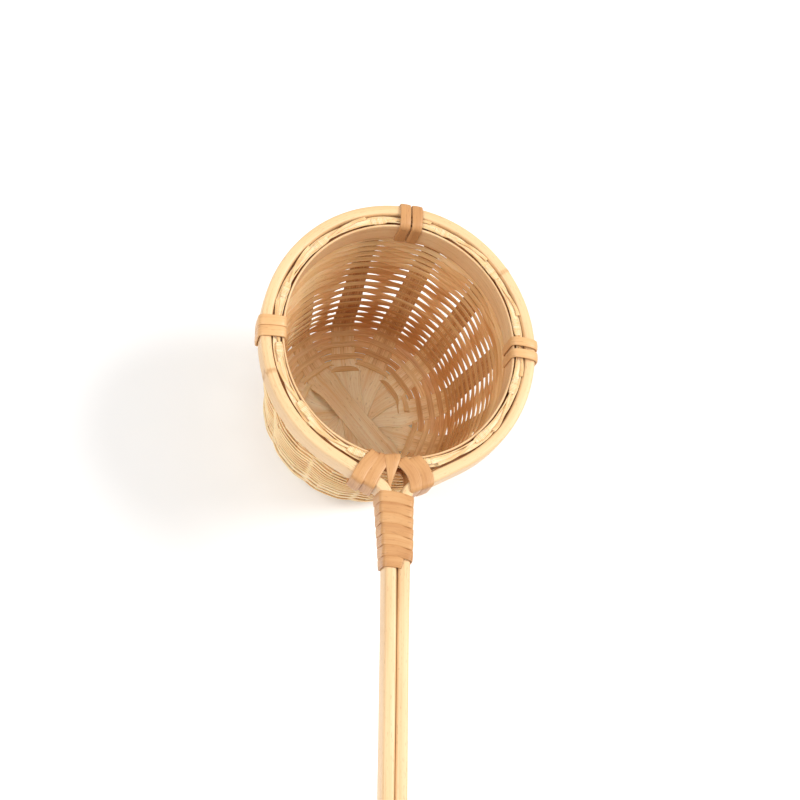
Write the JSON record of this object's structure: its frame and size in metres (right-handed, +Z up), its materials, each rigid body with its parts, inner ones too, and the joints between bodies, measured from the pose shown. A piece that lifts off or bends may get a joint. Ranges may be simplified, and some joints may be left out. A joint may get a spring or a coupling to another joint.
{
  "type": "tea strainer",
  "caption": "Hand-woven bamboo tea strainer: a deep woven cup hung in a hoop made of one slat, whose two ends run side by side as the handle.",
  "frame": {"origin": "centre of the base, on the underside of the lowest base strip, where the strainer stands", "axes": "+Z up along the basket's axis, out of the mouth; -Y along the handle, from the basket to the tip; +X to the right when the handle points at the viewer"},
  "size_m": [0.0776, 0.2158, 0.0717],
  "materials": {
    "bamboo_slat": "natural bamboo skin, satin",
    "bamboo_band": "split bamboo, matte",
    "bamboo_strip": "split bamboo, matte with a fine grain",
    "bamboo_strand": "split bamboo, matte",
    "cane": "peeled cane, satin"
  },
  "bodies": {
    "root": {"rim_handle_slat": "bamboo_slat", "inner_band": "bamboo_band", "base_strip_1": "bamboo_strip", "base_strip_2": "bamboo_strip", "base_strip_3": "bamboo_strip", "base_strip_4": "bamboo_strip", "base_strip_5": "bamboo_strip", "base_strip_6": "bamboo_strip", "weaver_a_1": "bamboo_strand", "weaver_a_2": "bamboo_strand", "weaver_a_3": "bamboo_strand", "weaver_b_1": "bamboo_strand", "weaver_b_2": "bamboo_strand", "weaver_b_3": "bamboo_strand", "lashing_left": "cane", "lashing_right": "cane", "lashing_back": "cane", "lashing_front": "cane", "neck_binding": "cane", "tip_binding": "cane"}
  },
  "joints": []
}
